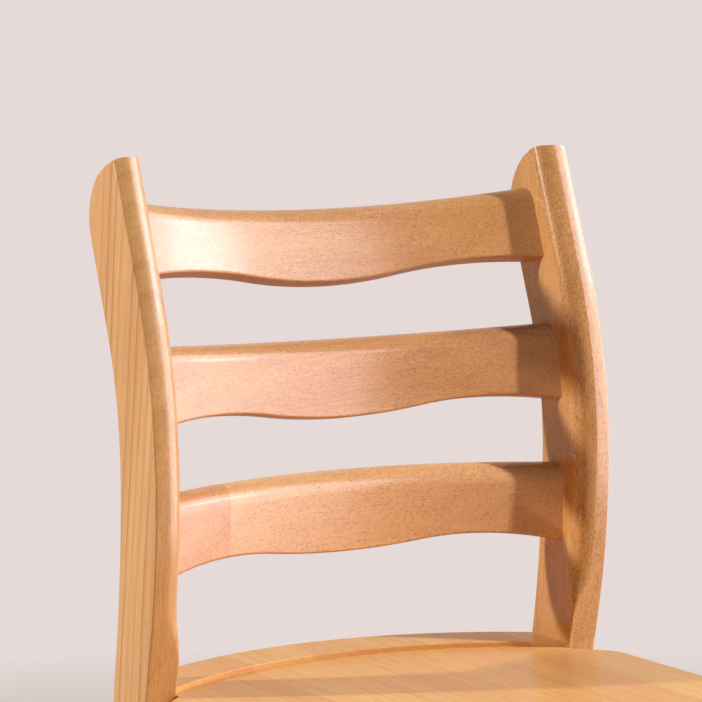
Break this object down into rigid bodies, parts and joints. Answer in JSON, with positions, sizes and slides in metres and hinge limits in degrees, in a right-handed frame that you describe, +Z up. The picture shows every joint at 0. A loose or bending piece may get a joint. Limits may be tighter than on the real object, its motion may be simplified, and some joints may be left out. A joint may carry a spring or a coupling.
{
  "type": "ladderback dining chair",
  "caption": "Wooden ladderback dining chair with curved slats between sculpted posts and a glued-up seat with a raised rear rim.",
  "frame": {"origin": "centre of the chair's bounding box at floor level", "axes": "+X to the right as one faces the front of the chair, +Y from the seat's front edge to the back, +Z up"},
  "size_m": [0.4592, 0.4966, 0.8899],
  "materials": {
    "post_wood": "clear gloss lacquer",
    "slat_wood": "clear gloss lacquer",
    "seat_wood": "clear gloss lacquer",
    "frame_wood": "clear gloss lacquer",
    "block_wood": "raw planed wood",
    "screw_steel": "zinc plated",
    "glide_plastic": "matt moulded"
  },
  "bodies": {
    "root": {"post_left": "post_wood", "post_right": "post_wood", "slat_top": "slat_wood", "slat_middle": "slat_wood", "slat_bottom": "slat_wood", "seat_board_1": "seat_wood", "seat_board_2": "seat_wood", "seat_board_3": "seat_wood", "seat_board_4": "seat_wood", "seat_board_5": "seat_wood", "seat_board_6": "seat_wood", "seat_board_7": "seat_wood", "front_leg_left": "frame_wood", "front_leg_right": "frame_wood", "apron_front": "frame_wood", "apron_rear": "frame_wood", "apron_left": "frame_wood", "apron_right": "frame_wood", "stretcher_left": "frame_wood", "stretcher_right": "frame_wood", "stretcher_cross": "frame_wood", "corner_block_front_left": "block_wood", "corner_block_front_right": "block_wood", "corner_block_rear_left": "block_wood", "corner_block_rear_right": "block_wood", "block_screws": "screw_steel", "seat_screws": "screw_steel", "glide_front_left": "glide_plastic", "glide_front_right": "glide_plastic", "glide_rear_left": "glide_plastic", "glide_rear_right": "glide_plastic"}
  },
  "joints": []
}
